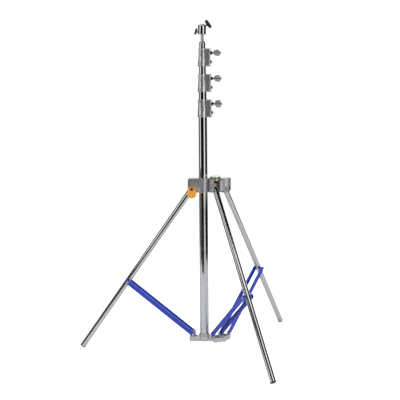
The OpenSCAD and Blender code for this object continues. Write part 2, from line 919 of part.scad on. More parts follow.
// One channel bar, open towards the leg, with a round boss at each pivot
module brace_bar() {
    translate([0, bar_out, 0])
        rotate([90, 0, 0])
            difference() {
                linear_extrude(bar_depth) bar_outline(bar_r);
                difference() {
                    translate([0, 0, bar_sheet])
                        linear_extrude(bar_depth) bar_outline(bar_r - bar_sheet);
                    for (y = [0, brace_len])
                        translate([0, y, 0]) cylinder(r = bar_boss_r, h = bar_depth + 2 * over);
                }
                for (y = [0, brace_len])
                    translate([0, y, -over]) cylinder(r = bolt_r + run, h = bar_depth + 2 * over);
            }
}

module brace_bars(k) {
    color(blue) stand() along_brace(k)
        for (side = [0, 1])
            mirror([0, side, 0]) brace_bar();
}

// Short bolts that join the bars to the sleeve of the leg
module brace_bolts(k) {
    color(chrome) stand() along_brace(k)
        translate([0, 0, brace_len])
            for (side = [0, 1])
                mirror([0, side, 0])
                    domed_bolt(bolt_r, low_gap + slip, bar_out, bolt_head_r, bolt_head_h);
}

// Head

// Frame of the upper screw: x runs out along it, from the middle of its bar
module at_upper_screw() {
    translate([upper_bar_x, 0, upper_bar_z])
        rotate([0, -upper_screw_rise, 0])
            children();
}

// Frame of the lower screw, which points to the left
module at_lower_screw() {
    translate([-lower_bar_x, 0, lower_bar_z])
        rotate([0, 0, 180])
            rotate([0, -lower_screw_rise, 0])
                children();
}

module head_body() {
    r = head_d / 2;
    boss_r = boss_d / 2;
    edge = 1;
    top = head_h + boss_h;
    color(chrome) stand()
        difference() {
            translate([0, 0, head_z])
                rotate_extrude($fn = 96)
                    polygon([[0, 0], [r - head_edge, 0], [r, head_edge], [r, head_h - head_edge],
                        [r - head_edge, head_h], [boss_r, head_h], [boss_r, top - edge],
                        [boss_r - edge, top], [0, top]]);
            translate([0, 0, head_z - over])
                cylinder(r = spigot_r + run, h = spigot_in + over);
            translate([0, 0, socket_top - socket_deep])
                cylinder(r = socket_d / 2, h = socket_deep + over);
            at_upper_screw() x_rod(head_screw_r + run, -upper_bar_x / cos(upper_screw_rise), 0);
            at_lower_screw() x_rod(head_screw_r + run, -lower_bar_x / cos(lower_screw_rise), 0);
        }
}

// Distance from the middle of a screw's bar back to its tip, just clear of a bore of radius r
function tip_back(bar_x, r, rise) = (bar_x - r - tip_gap) / cos(rise) - head_screw_r * tan(rise);

module head_screw() {
    color(steel) stand() at_upper_screw()
        x_rod(head_screw_r, -tip_back(upper_bar_x, socket_d / 2, upper_screw_rise), head_screw_r);
}

module head_handle() {
    color(dark) stand() at_upper_screw()
        difference() {
            union() {
                hull()
                    for (side = [-1, 1])
                        translate([0, 0, side * (t_bar_l - t_bar_d) / 2]) sphere(r = t_bar_d / 2, $fn = 32);
                x_rod(t_neck_r, -t_neck_in, 0);
            }
            x_rod(head_screw_r + seat, -t_neck_in - over, head_screw_r + seat);
        }
}

module head_wing_screw() {
    color(dark) stand() at_lower_screw() {
        x_rod(head_screw_r, -tip_back(lower_bar_x, spigot_r + run, lower_screw_rise), 0);
        x_rod(wing_neck_r, -wing_neck_in, 0);
        hull()
            for (side = [-1, 1])
                translate([0, 0, side * (wing_l - wing_d) / 2]) sphere(r = wing_d / 2, $fn = 24);
    }
}

base_tube();
base_plug();
lower_casting();
casting_bolt();
lower_pivot_bolts();
collar(0);  // base_collar
collar_bush(0);  // base_bush
collar_bolt(0);  // base_collar_bolt
knob_screw(0);  // base_knob_screw
knob_handle(0);  // base_knob_handle
riser_tube(1);  // riser_1_tube
riser_guide(1);  // riser_1_guide
collar(1);  // riser_1_collar
collar_bush(1);  // riser_1_bush
collar_bolt(1);  // riser_1_collar_bolt
knob_screw(1);  // riser_1_knob_screw
knob_handle(1);  // riser_1_knob_handle
riser_tube(2);  // riser_2_tube
riser_guide(2);  // riser_2_guide
collar(2);  // riser_2_collar
collar_bush(2);  // riser_2_bush
collar_bolt(2);  // riser_2_collar_bolt
knob_screw(2);  // riser_2_knob_screw
knob_handle(2);  // riser_2_knob_handle
riser_tube(3);  // riser_3_tube
riser_guide(3);  // riser_3_guide
riser_3_cap();
spigot();
leg_casting();
casting_bush();
casting_knob_screw();
casting_knob_handle();
level_base();
level_glass();
leg_pivot_bolts();
orange_tag();
for (k = [0:2]) {
    leg_tube(k);
    leg_plug(k);
    leg_foot(k);
    leg_sleeve(k);
    brace_bars(k);
    brace_bolts(k);
}
head_body();
head_screw();
head_handle();
head_wing_screw();
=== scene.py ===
import bmesh
import bpy
import json
import math
from mathutils import Matrix, Vector


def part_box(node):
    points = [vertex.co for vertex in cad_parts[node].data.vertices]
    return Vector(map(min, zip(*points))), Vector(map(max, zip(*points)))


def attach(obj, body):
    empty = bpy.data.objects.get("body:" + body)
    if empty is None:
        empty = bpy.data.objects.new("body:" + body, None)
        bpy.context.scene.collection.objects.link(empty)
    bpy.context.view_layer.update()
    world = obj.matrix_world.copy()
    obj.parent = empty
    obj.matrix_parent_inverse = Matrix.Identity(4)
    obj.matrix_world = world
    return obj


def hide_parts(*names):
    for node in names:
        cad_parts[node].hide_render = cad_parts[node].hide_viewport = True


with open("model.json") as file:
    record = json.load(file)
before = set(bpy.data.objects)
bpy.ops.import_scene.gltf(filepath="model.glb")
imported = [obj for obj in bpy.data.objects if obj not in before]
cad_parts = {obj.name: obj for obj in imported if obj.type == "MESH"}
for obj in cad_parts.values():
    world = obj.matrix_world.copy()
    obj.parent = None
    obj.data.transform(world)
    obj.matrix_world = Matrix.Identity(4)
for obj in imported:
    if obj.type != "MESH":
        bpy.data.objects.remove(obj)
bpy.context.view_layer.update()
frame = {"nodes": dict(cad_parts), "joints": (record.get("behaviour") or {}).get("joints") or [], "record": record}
record = frame["record"]
MM = 0.001


# Base tube and the three risers inside it: drawn steel tubes, polished and chrome plated. Each
# slides in the one below on a black plastic guide, which leaves faint marks along the tube.
def add(tree, kind, settings=None, **inputs):
    """Adds a shader node. Each named input takes a plain value or the socket that feeds it."""
    new = tree.nodes.new("ShaderNode" + kind)
    for key, value in (settings or {}).items():
        setattr(new, key, value)
    for key, value in inputs.items():
        socket = new.inputs[int(key[1:])] if key[0] == "_" else new.inputs[key.replace("_", " ")]
        if isinstance(value, bpy.types.NodeSocket):
            tree.links.new(value, socket)
        else:
            socket.default_value = value
    return new


def new_group(name, inputs, outputs):
    """An empty node group. Inputs are given as name: (socket type, default)."""
    tree = bpy.data.node_groups.new(name, "ShaderNodeTree")
    for key, (kind, default) in inputs.items():
        socket = tree.interface.new_socket(key, in_out="INPUT", socket_type="NodeSocket" + kind)
        socket.default_value = default
    for key in outputs:
        tree.interface.new_socket(key, in_out="OUTPUT", socket_type="NodeSocketFloat")
    return tree, tree.nodes.new("NodeGroupInput").outputs, tree.nodes.new("NodeGroupOutput").inputs


def use_group(tree, group, **inputs):
    return add(tree, "Group", {"node_tree": group}, **inputs).outputs


def new_finish(name, **constants):
    """A material with one Principled shader. The constants are set straight on its sockets."""
    finish = bpy.data.materials.new(name)
    finish.use_nodes = True
    shader = finish.node_tree.nodes["Principled BSDF"]
    for key, value in constants.items():
        shader.inputs[key.replace("_", " ")].default_value = value
    return finish, finish.node_tree, shader.inputs


def vary(tree, socket, by, low, high, start=0.35, end=0.65):
    """Lets a shader value run from low to high with a pattern."""
    spread = add(tree, "MapRange", Value=by, From_Min=start, From_Max=end, To_Min=low, To_Max=high)
    tree.links.new(spread.outputs[0], socket)


def tint(tree, by, one, other):
    """A colour that runs from one to the other with a pattern."""
    return add(tree, "Mix", {"data_type": "RGBA"}, _0=by, _6=(*one, 1), _7=(*other, 1)).outputs[2]


# Marks along a drawn tube are noise that is stretched along the tube's own axis, because most of
# the length along that axis is taken off before the noise is read.
drawn, given, out = new_group(
    "Drawn marks", {"Axis": ("Vector", (0, 0, 1)), "Fineness": ("Float", 900.0)},
    ("Lines", "Haze", "Patches"))
place = add(drawn, "TexCoord").outputs["Object"]
along = add(
    drawn, "VectorMath", {"operation": "DOT_PRODUCT"}, _0=place, _1=given["Axis"]).outputs["Value"]
shrunk = 0.99
kept = add(drawn, "Math", {"operation": "MULTIPLY"}, _0=along, _1=shrunk).outputs[0]
drop = add(drawn, "VectorMath", {"operation": "SCALE"}, _0=given["Axis"], Scale=kept).outputs[0]
across = add(drawn, "VectorMath", {"operation": "SUBTRACT"}, _0=place, _1=drop).outputs[0]
lines = add(
    drawn, "TexNoise", Vector=across, Scale=given["Fineness"], Detail=4.0, Roughness=0.6)
haze = add(drawn, "TexNoise", Vector=place, Scale=22.0, Detail=3.0, Roughness=0.55)
patches = add(drawn, "TexNoise", Vector=place, Scale=140.0, Detail=2.0)
for key, noise in (("Lines", lines), ("Haze", haze), ("Patches", patches)):
    drawn.links.new(noise.outputs[0], out[key])

# Share of its colour that any finish keeps where it is dull
dull = 0.86


def chrome(name, axis=(0, 0, 1), low=0.04, high=0.12, color=(0.83, 0.84, 0.85)):
    """Bright chrome plate with faint lines along the tube and a slight haze where hands hold it."""
    finish, tree, shader = new_finish(name, Metallic=1.0)
    marks = use_group(tree, drawn, Axis=axis)
    vary(tree, shader["Roughness"], marks["Haze"], low, high)
    base = tint(tree, marks["Lines"], color, [dull * c for c in color])
    tree.links.new(base, shader["Base Color"])
    height = add(tree, "Math", {"operation": "ADD"}, _0=marks["Lines"], _1=marks["Patches"])
    bump = add(tree, "Bump", Strength=0.015, Distance=0.0002, Height=height.outputs[0])
    tree.links.new(bump.outputs[0], shader["Normal"])
    return finish


tiny = 1e-9
sharp_edge = math.radians(35)


def to_piece(bm, name, finish, body, replaces=(), bevel=0.0):
    """Turns a bmesh into a piece that rides on a body and stands for the named CAD nodes."""
    bmesh.ops.recalc_face_normals(bm, faces=bm.faces)
    mesh = bpy.data.meshes.new(name)
    bm.to_mesh(mesh)
    bm.free()
    mesh.shade_smooth()
    mesh.set_sharp_from_angle(angle=sharp_edge)
    mesh.materials.append(finish)
    piece = bpy.data.objects.new(name, mesh)
    bpy.context.scene.collection.objects.link(piece)
    if bevel:
        edge = piece.modifiers.new("edges", "BEVEL")
        edge.width = bevel
        edge.segments = 3
        edge.limit_method = "ANGLE"
        edge.angle_limit = sharp_edge
        edge.harden_normals = True
    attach(piece, body)
    if replaces:
        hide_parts(*replaces)
    return piece


def lathe(profile, place, steps=96, helix=None):
    """Turns (radius, height) points about Z into a closed bmesh, with a thread where helix says."""
    bm = bmesh.new()
    rings = []
    for r, z in profile:
        angles = [0.0] if r < tiny else [2 * math.pi * i / steps for i in range(steps)]
        ring = []
        for a in angles:
            cut = 0.0
            if helix and helix["start"] < z < helix["end"] and abs(r - helix["r"]) < tiny:
                turn = (z / helix["pitch"] - a / (2 * math.pi)) % 1.0
                cut = helix["depth"] * abs(2 * turn - 1)
            ring.append(bm.verts.new(((r - cut) * math.cos(a), (r - cut) * math.sin(a), z)))
        rings.append(ring)
    for low, high in zip(rings, rings[1:] + rings[:1]):
        for i in range(steps):
            j = (i + 1) % steps
            around = ((low, i), (low, j), (high, j), (high, i))
            corners = [ring[n % len(ring)] for ring, n in around]
            corners = [c for n, c in enumerate(corners) if c not in corners[:n]]
            if len(corners) > 2:
                bm.faces.new(corners)
    bm.transform(place)
    return bm


def drill(bm, *cutters):
    """Cuts closed bmeshes, such as the drill of a bolt hole, out of another."""
    made = []
    for n, shape in enumerate((bm, *cutters)):
        bmesh.ops.recalc_face_normals(shape, faces=shape.faces)
        mesh = bpy.data.meshes.new("blank")
        shape.to_mesh(mesh)
        shape.free()
        blank = bpy.data.objects.new("blank", mesh)
        bpy.context.scene.collection.objects.link(blank)
        if n:
            cut = made[0].modifiers.new("drill", "BOOLEAN")
            cut.object = blank
            cut.operation = "DIFFERENCE"
        made.append(blank)
    cut_mesh = made[0].evaluated_get(bpy.context.evaluated_depsgraph_get()).to_mesh()
    result = bmesh.new()
    result.from_mesh(cut_mesh)
    for blank in made:
        mesh = blank.data
        bpy.data.objects.remove(blank)
        bpy.data.meshes.remove(mesh)
    return result


def from_cad(node):
    """A bmesh with the shape of a CAD node, its flat faces whole again."""
    bm = bmesh.new()
    bm.from_mesh(frame["nodes"][node].data)
    bmesh.ops.remove_doubles(bm, verts=bm.verts, dist=1e-6)
    bmesh.ops.dissolve_limit(bm, angle_limit=math.radians(1.0), verts=bm.verts, edges=bm.edges)
    return bm


def aim(origin, axis):
    """The place of a lathe whose Z axis points along axis, with its zero at origin."""
    return Matrix.Translation(origin) @ Vector(axis).to_track_quat("Z", "Y").to_matrix().to_4x4()


def rod(r, start, end):
    return [(0, start), (r, start), (r, end), (0, end)]


body_of = {node: body for body, nodes in record["behaviour"]["bodies"].items() for node in nodes}


def redo(node, finish, bevel=0.0, bm=None):
    """Makes the piece that stands for a CAD node, from its own mesh unless bm is given."""
    bm = bm or from_cad(node)
    return to_piece(bm, node + "_made", finish, body_of[node], (node,), bevel)


tube_low, tube_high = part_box("base_tube")
column_x = (tube_low.x + tube_high.x) / 2
column_y = (tube_low.y + tube_high.y) / 2
column = Matrix.Translation((column_x, column_y, 0))
tube_wall = 1.5 * MM
tube_edge = 0.4 * MM
bolt_hole = 4.05 * MM
column_bodies = ("base", "riser_1", "riser_2", "riser_3")
tube_r = []
chrome_tube = chrome("chrome_tube")
for body in column_bodies:
    low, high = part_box(body + "_tube")
    r = (high.x - low.x) / 2
    bore = r - tube_wall
    wall = [(bore, low.z), (r, low.z), (r, high.z - tube_edge), (r - tube_edge, high.z),
            (bore, high.z)]
    bm = lathe(wall, column)
    if body == "base":
        bolt_low, bolt_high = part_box("casting_bolt")
        bolt_at = (column_x, column_y, (bolt_low.z + bolt_high.z) / 2)
        bm = drill(bm, lathe(rod(bolt_hole, -2 * r, 2 * r), aim(bolt_at, (0, 1, 0))))
    redo(body + "_tube", chrome_tube, bm=bm)
    tube_r.append(r)


# Guides of the risers: black plastic, moulded, pressed into the foot of each tube. Their skin, and
# that of all cast or painted pieces, has grain, blotches of handling, and outer edges in another
# colour: worn on metal and plastic, a painted highlight on the blue paint.
skin, given, out = new_group(
    "Skin", {"Fineness": ("Float", 700.0), "Edge": ("Float", 0.8 * MM)},
    ("Grain", "Blotches", "Wear and sheen"))
place = add(skin, "TexCoord").outputs["Object"]
grain = add(
    skin, "TexNoise", Vector=place, Scale=given["Fineness"], Detail=5.0, Roughness=0.6).outputs[0]
blotches = add(skin, "TexNoise", Vector=place, Scale=45.0, Detail=3.0).outputs[0]
soft = add(skin, "Bevel", {"samples": 4}, Radius=given["Edge"]).outputs[0]
flat = add(skin, "NewGeometry").outputs["Normal"]
same = add(skin, "VectorMath", {"operation": "DOT_PRODUCT"}, _0=soft, _1=flat).outputs["Value"]
edge = add(
    skin, "MapRange", Value=same, From_Min=0.995, From_Max=0.85, To_Min=0.0, To_Max=1.0).outputs[0]
# Outer edges take the edge colour: wear on most finishes, a painted highlight on the blue paint.
wear_and_sheen = add(skin, "Math", {"operation": "MULTIPLY"}, _0=edge, _1=grain).outputs[0]
for key, value in (("Grain", grain), ("Blotches", blotches), ("Wear and sheen", wear_and_sheen)):
    skin.links.new(value, out[key])


def coated(name, color, wear_and_sheen_color, low, high, grain=0.15, metal=0.0, fineness=700.0, **constants):
    """A grained finish whose outer edges take another colour: wear, and on the blue paint a painted highlight."""
    finish, tree, shader = new_finish(name, Metallic=metal, **constants)
    marks = use_group(tree, skin, Fineness=fineness)
    vary(tree, shader["Roughness"], marks["Blotches"], low, high)
    base = tint(tree, marks["Blotches"], color, [dull * c for c in color])
    mix = add(tree, "Mix", {"data_type": "RGBA"}, _0=marks["Wear and sheen"], _6=base, _7=(*wear_and_sheen_color, 1))
    tree.links.new(mix.outputs[2], shader["Base Color"])
    bump = add(tree, "Bump", Strength=grain, Distance=0.0003, Height=marks["Grain"])
    tree.links.new(bump.outputs[0], shader["Normal"])
    return finish


black_plastic = coated(
    "black_plastic", (0.022, 0.022, 0.023), (0.06, 0.06, 0.06), low=0.35, high=0.5)
for node in ("riser_1_guide", "riser_2_guide", "riser_3_guide"):
    redo(node, black_plastic, bevel=0.3 * MM)


# Foot of the column: an aluminium casting with one forked arm for each pair of braces. The tube
# stands in its hub on a black plug, held by a bolt right through, and each lug has its own bolt.
cast_metal = coated(
    "cast_metal", (0.74, 0.74, 0.73), (0.86, 0.86, 0.86),
    low=0.28, high=0.4, grain=0.15, metal=0.65, fineness=520.0)
steel_hardware = coated(
    "steel_hardware", (0.62, 0.62, 0.63), (0.80, 0.80, 0.80),
    low=0.14, high=0.26, grain=0.05, metal=1.0)
bright_bolts = chrome("bright_bolts", (0, 1, 0), low=0.08, high=0.2, color=(0.78, 0.79, 0.80))
redo("base_plug", black_plastic, bevel=0.4 * MM)
redo("lower_casting", cast_metal, bevel=0.9 * MM)
redo("casting_bolt", steel_hardware, bevel=0.4 * MM)
redo("lower_pivot_bolts", bright_bolts, bevel=0.3 * MM)


# Three clamping collars, cast in one piece each: a sleeve over the end of a tube, a narrower
# sleeve for the riser, and a thick block on one side for the screw. A lip runs round both ends.
lip = 2.4 * MM
lip_t = 4.0 * MM
sleeve_wall = 3.65 * MM
neck_wall = 1.73 * MM
block_reach = 25.0 * MM
block_half = 17.0 * MM
block_edge = 6.0 * MM
collar_h = 96.0 * MM
collar_step = 48.0 * MM
screw_inset = 24.0 * MM
seat_gap = 0.05 * MM
screw_r = 4.5 * MM
screw_gap = 0.08 * MM
collar_bolt_hole = 3.55 * MM
neck_less = 0.77 * MM
collar_steps = 216
clamp_turn = math.radians(-10)


def block_at(angle, x_end, half, edge):
    """Distance from the axis to the outline of the block with its rounded outer corners."""
    c, s = math.cos(angle), abs(math.sin(angle))
    if c < tiny:
        return 0.0
    reach = min(x_end / c, half / max(s, tiny))
    corner_x, corner_y = x_end - edge, half - edge
    if reach * c > corner_x and reach * s > corner_y:
        dot = corner_x * c + corner_y * s
        reach = dot + math.sqrt(edge**2 - corner_x**2 - corner_y**2 + dot**2)
    return reach


def collar(z0, r, neck_bore):
    """Skins the collar over the outlines at each height, with rounded lips and a soft step."""
    soft = 0.8 * MM
    lip_side = [(0, lip - soft), (0.3 * soft, lip - 0.3 * soft), (soft, lip), (lip_t - soft, lip),
                (lip_t - 0.3 * soft, lip - 0.3 * soft), (lip_t, lip - soft),
                (lip_t + 0.4 * soft, 0.6 * soft), (lip_t + 1.6 * soft, 0)]
    levels = [(z, e, r + sleeve_wall) for z, e in lip_side]
    levels += [(collar_step - soft, 0, r + sleeve_wall), (collar_step, 0, r + sleeve_wall - soft),
               (collar_step, 0, r + neck_wall + 0.4 * soft),
               (collar_step + 0.4 * soft, 0, r + neck_wall)]
    levels += [(collar_h - z, e, r + neck_wall) for z, e in reversed(lip_side)]
    bm = bmesh.new()
    rings = []
    turns = [2 * math.pi * i / collar_steps for i in range(collar_steps)]
    for z, e, sleeve in levels:
        ring = []
        for a in turns:
            d = max(sleeve + e, block_at(a, r + block_reach + e, block_half + e, block_edge + e))
            ring.append(bm.verts.new((d * math.cos(a), d * math.sin(a), z0 + z)))
        rings.append(ring)
    seat = r + seat_gap
    inside = ((neck_bore, collar_h), (neck_bore, collar_step), (seat, collar_step), (seat, 0))
    for bore, z in inside:
        rings.append(
            [bm.verts.new((bore * math.cos(a), bore * math.sin(a), z0 + z)) for a in turns])
    for low, high in zip(rings, rings[1:] + rings[:1]):
        for i in range(collar_steps):
            j = (i + 1) % collar_steps
            bm.faces.new((low[i], low[j], high[j], high[i]))
    bm.transform(column @ Matrix.Rotation(clamp_turn, 4, "Z"))
    return bm


knob_axis = Matrix.Rotation(clamp_turn, 3, "Z") @ Vector((1, 0, 0))
collar_metal = coated(
    "collar_metal", (0.80, 0.80, 0.81), (0.88, 0.88, 0.88),
    low=0.09, high=0.17, grain=0.015, metal=0.83, fineness=600.0)
for body, r in zip(column_bodies[:3], tube_r):
    low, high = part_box(body + "_collar")
    neck_bore = r - neck_less
    screw_at = (column_x, column_y, high.z - screw_inset)
    bolt_at = (column_x, column_y, low.z + screw_inset)
    bm = drill(
        collar(low.z, r, neck_bore),
        lathe(rod(screw_r + screw_gap, 0, 3 * r), aim(screw_at, knob_axis), steps=48),
        lathe(rod(collar_bolt_hole, 0, 3 * r), aim(bolt_at, knob_axis), steps=48))
    redo(body + "_collar", collar_metal, bm=bm)
    redo(body + "_bush", black_plastic)
    redo(body + "_collar_bolt", steel_hardware, bevel=0.2 * MM)


# Clamping screw of each collar and of the leg casting: turned steel with a rolled thread and a
# round collar near the block. Its T handle is sand cast, with a round core and two soft wings.
free = 15.0 * MM
nut_r, nut_h = 9.5 * MM, 8.5 * MM
nut_gap = 0.3 * MM
handle_l = 42.0 * MM
handle_end = 12.0 * MM
end_room = 0.3 * MM
thread_pitch = 1.5 * MM
thread_depth = 0.5 * MM
screw_steel = coated(
    "screw_steel", (0.16, 0.16, 0.165), (0.45, 0.45, 0.45),
    low=0.22, high=0.34, grain=0.05, metal=1.0)
cast_knob = coated(
    "cast_knob", (0.54, 0.54, 0.535), (0.80, 0.80, 0.80),
    low=0.24, high=0.38, grain=0.15, metal=0.88, fineness=480.0)


def joint(name):
    return next(j for j in frame["joints"] if j["name"] == name)


def clamp_screw(tip, face):
    """Profile from the tip in the bush to the end in the handle, finely stepped on the thread."""
    end = face + free + handle_l - handle_end - end_room
    nut, edge = face + nut_gap, 1.0 * MM
    start, steps = nut + nut_h, 36
    point = [(0, tip), (screw_r - edge, tip), (screw_r, tip + edge), (screw_r, nut)]
    nut_side = [(nut_r - edge, nut), (nut_r, nut + edge), (nut_r, start - edge),
                (nut_r - edge, start)]
    thread = [(screw_r, start + (free - nut_h) * i / steps) for i in range(steps + 1)]
    return point + nut_side + thread + [(screw_r, end), (0, end)]


def soften(piece, voxel, rounds):
    """Closes a cast form into one skin and rounds its inner and outer corners, as a mould does."""
    one = piece.modifiers.new("one skin", "REMESH")
    one.mode = "VOXEL"
    one.voxel_size = voxel
    one.use_smooth_shade = True
    even = piece.modifiers.new("mould", "SMOOTH")
    even.iterations = rounds
    return piece


bush_r, casting_face = 27.43 * MM, 44.0 * MM
screw_faces = {"casting": (bush_r, casting_face)}
for body, r in zip(column_bodies[:3], tube_r):
    screw_faces[body] = (r - neck_less, r + block_reach)
for name, (tip, face) in screw_faces.items():
    low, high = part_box(name + "_knob_screw")
    axis = Vector(joint(name + "_knob_turn")["axis"])
    place = aim((column_x, column_y, (low.z + high.z) / 2), axis)
    start = face + nut_gap + nut_h
    helix = {"start": start, "end": face + free, "pitch": thread_pitch, "depth": thread_depth,
             "r": screw_r}
    screw = lathe(clamp_screw(tip, face), place, steps=48, helix=helix)
    redo(name + "_knob_screw", screw_steel, bm=screw)
    soften(redo(name + "_knob_handle", cast_knob), voxel=0.9 * MM, rounds=5)


# Cap that closes the top riser: turned steel, chrome plated, with a cone on top. The spigot that
# stands in it is a plain steel pin, and carries the head.
cap_low, cap_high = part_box("riser_3_cap")
r = tube_r[3]
cap_rise, cone_h, cone_in = 21 * MM, 8 * MM, 6 * MM
fit_gap = 0.05 * MM
inner = r - tube_wall - fit_gap
shoulder = cap_high.z - cap_rise
cone = cap_high.z - cone_h
cap = [(0, cap_low.z), (inner, cap_low.z), (inner, shoulder), (r, shoulder), (r, cone),
       (r - cone_in, cap_high.z), (0, cap_high.z)]
redo("riser_3_cap", chrome("cap_chrome"), bevel=0.5 * MM, bm=lathe(cap, column))
pin_low, pin_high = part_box("spigot")
satin_steel = coated(
    "satin_steel", (0.66, 0.66, 0.65), (0.76, 0.76, 0.76), low=0.3, high=0.4, grain=0.03, metal=0.8)
spigot_r = 8 * MM
redo("spigot", satin_steel, bevel=0.5 * MM, bm=lathe(rod(spigot_r, pin_low.z, pin_high.z), column))


# Leg casting: one aluminium casting that slides on the base tube on an orange plastic bush. Each
# leg hangs between two of its ears on a steel bolt, whose hexagon nut is locked outside the ear.
orange_plastic = coated(
    "orange_plastic", (0.93, 0.40, 0.035), (0.95, 0.54, 0.14),
    low=0.34, high=0.48, grain=0.08, Subsurface_Weight=0.08)
spider_metal = coated(
    "spider_metal", (0.68, 0.68, 0.685), (0.84, 0.84, 0.84),
    low=0.26, high=0.36, grain=0.12, metal=0.8, fineness=480.0)
redo("leg_casting", spider_metal, bevel=1.0 * MM)
redo("casting_bush", orange_plastic, bevel=0.3 * MM)
redo("leg_pivot_bolts", bright_bolts, bevel=0.5 * MM)


# Spirit level on the leg casting: a turned metal base, a clear dome with a ring under it, and
# yellow-green fluid with a bubble that rests in the middle of the ring.
base_low, base_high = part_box("level_base")
dome_low, dome_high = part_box("level_glass")
level_at = Matrix.Translation(((base_low.x + base_high.x) / 2, (base_low.y + base_high.y) / 2, 0))
r, dome_r = (base_high.x - base_low.x) / 2, (dome_high.x - dome_low.x) / 2
rim = dome_r + fit_gap
base_edge = 1.0 * MM
base = [(0, base_low.z), (r, base_low.z), (r, base_high.z - base_edge),
        (r - base_edge, base_high.z), (rim, base_high.z), (rim, dome_low.z), (0, dome_low.z)]
level_metal = coated(
    "level_metal", (0.40, 0.40, 0.405), (0.62, 0.62, 0.62),
    low=0.24, high=0.38, grain=0.08, metal=0.85)
redo("level_base", level_metal, bevel=0.4 * MM, bm=lathe(base, level_at))
wall = 1.2 * MM
crown = 12 * MM
dome_out = [(0, 3 * MM), (0.8 * MM, 1.2 * MM), (3 * MM, 0.4 * MM), (crown, 0)]
dome_in = [(crown, wall), (3.4 * MM, 1.8 * MM), (wall, 3.4 * MM)]
dome = [(dome_r, dome_low.z)] + [(dome_r - x, dome_high.z - z) for x, z in dome_out]
dome += [(0, dome_high.z), (0, dome_high.z - wall)]
dome += [(dome_r - x, dome_high.z - z) for x, z in dome_in] + [(dome_r - wall, dome_low.z)]
clear, tree, shader = new_finish("clear_plastic", IOR=1.49, Transmission_Weight=1.0)
marks = use_group(tree, skin, Fineness=300.0)
vary(tree, shader["Roughness"], marks["Blotches"], 0.02, 0.07)
dome_tint = tint(tree, marks["Blotches"], (0.98, 1.0, 0.93), (0.93, 0.97, 0.88))
tree.links.new(dome_tint, shader["Base Color"])
redo("level_glass", clear, bm=lathe(dome, level_at))
fluid_drop, fluid_gap = 3.6 * MM, 0.1 * MM
fluid_top = dome_high.z - fluid_drop
fluid_r = dome_r - wall - fluid_gap
fluid = coated(
    "level_fluid", (0.84, 0.85, 0.52), (0.88, 0.89, 0.6),
    low=0.1, high=0.2, grain=0.02, Subsurface_Weight=0.2)
pool = [(0, dome_low.z), (fluid_r, dome_low.z), (fluid_r, fluid_top), (0, fluid_top)]
to_piece(
    lathe(pool, level_at), "level_fluid", fluid, "leg_casting", bevel=0.4 * MM)
ring_in, ring_out, ring_t = 8.0 * MM, 9.2 * MM, 0.3 * MM
ring_top = fluid_top + ring_t
ring = [(ring_in, fluid_top), (ring_out, fluid_top), (ring_out, ring_top), (ring_in, ring_top)]
to_piece(lathe(ring, level_at), "level_ring", black_plastic, "leg_casting")
bubble_r, bubble_h, bubble_rim, bubble_steps = 6.5 * MM, 1.2 * MM, 0.1 * MM, 6
bubble = [(0, fluid_top)]
for i in range(bubble_steps + 1):
    a = math.pi / 2 / bubble_steps * i
    x = bubble_r * math.cos(a) if i < bubble_steps else 0
    bubble.append((x, fluid_top + bubble_h * math.sin(a) + bubble_rim))
air = coated(
    "air_bubble", (0.93, 0.95, 0.86), (0.97, 0.98, 0.93), low=0.03, high=0.08, grain=0.01)
to_piece(lathe(bubble, level_at, steps=48), "level_bubble", air, "leg_casting")


# Tag on the bolt of the left leg: a blank plate punched from orange plastic sheet. It hangs free
# between the ear and the nut, which holds it.
redo("orange_tag", orange_plastic, bevel=0.7 * MM)


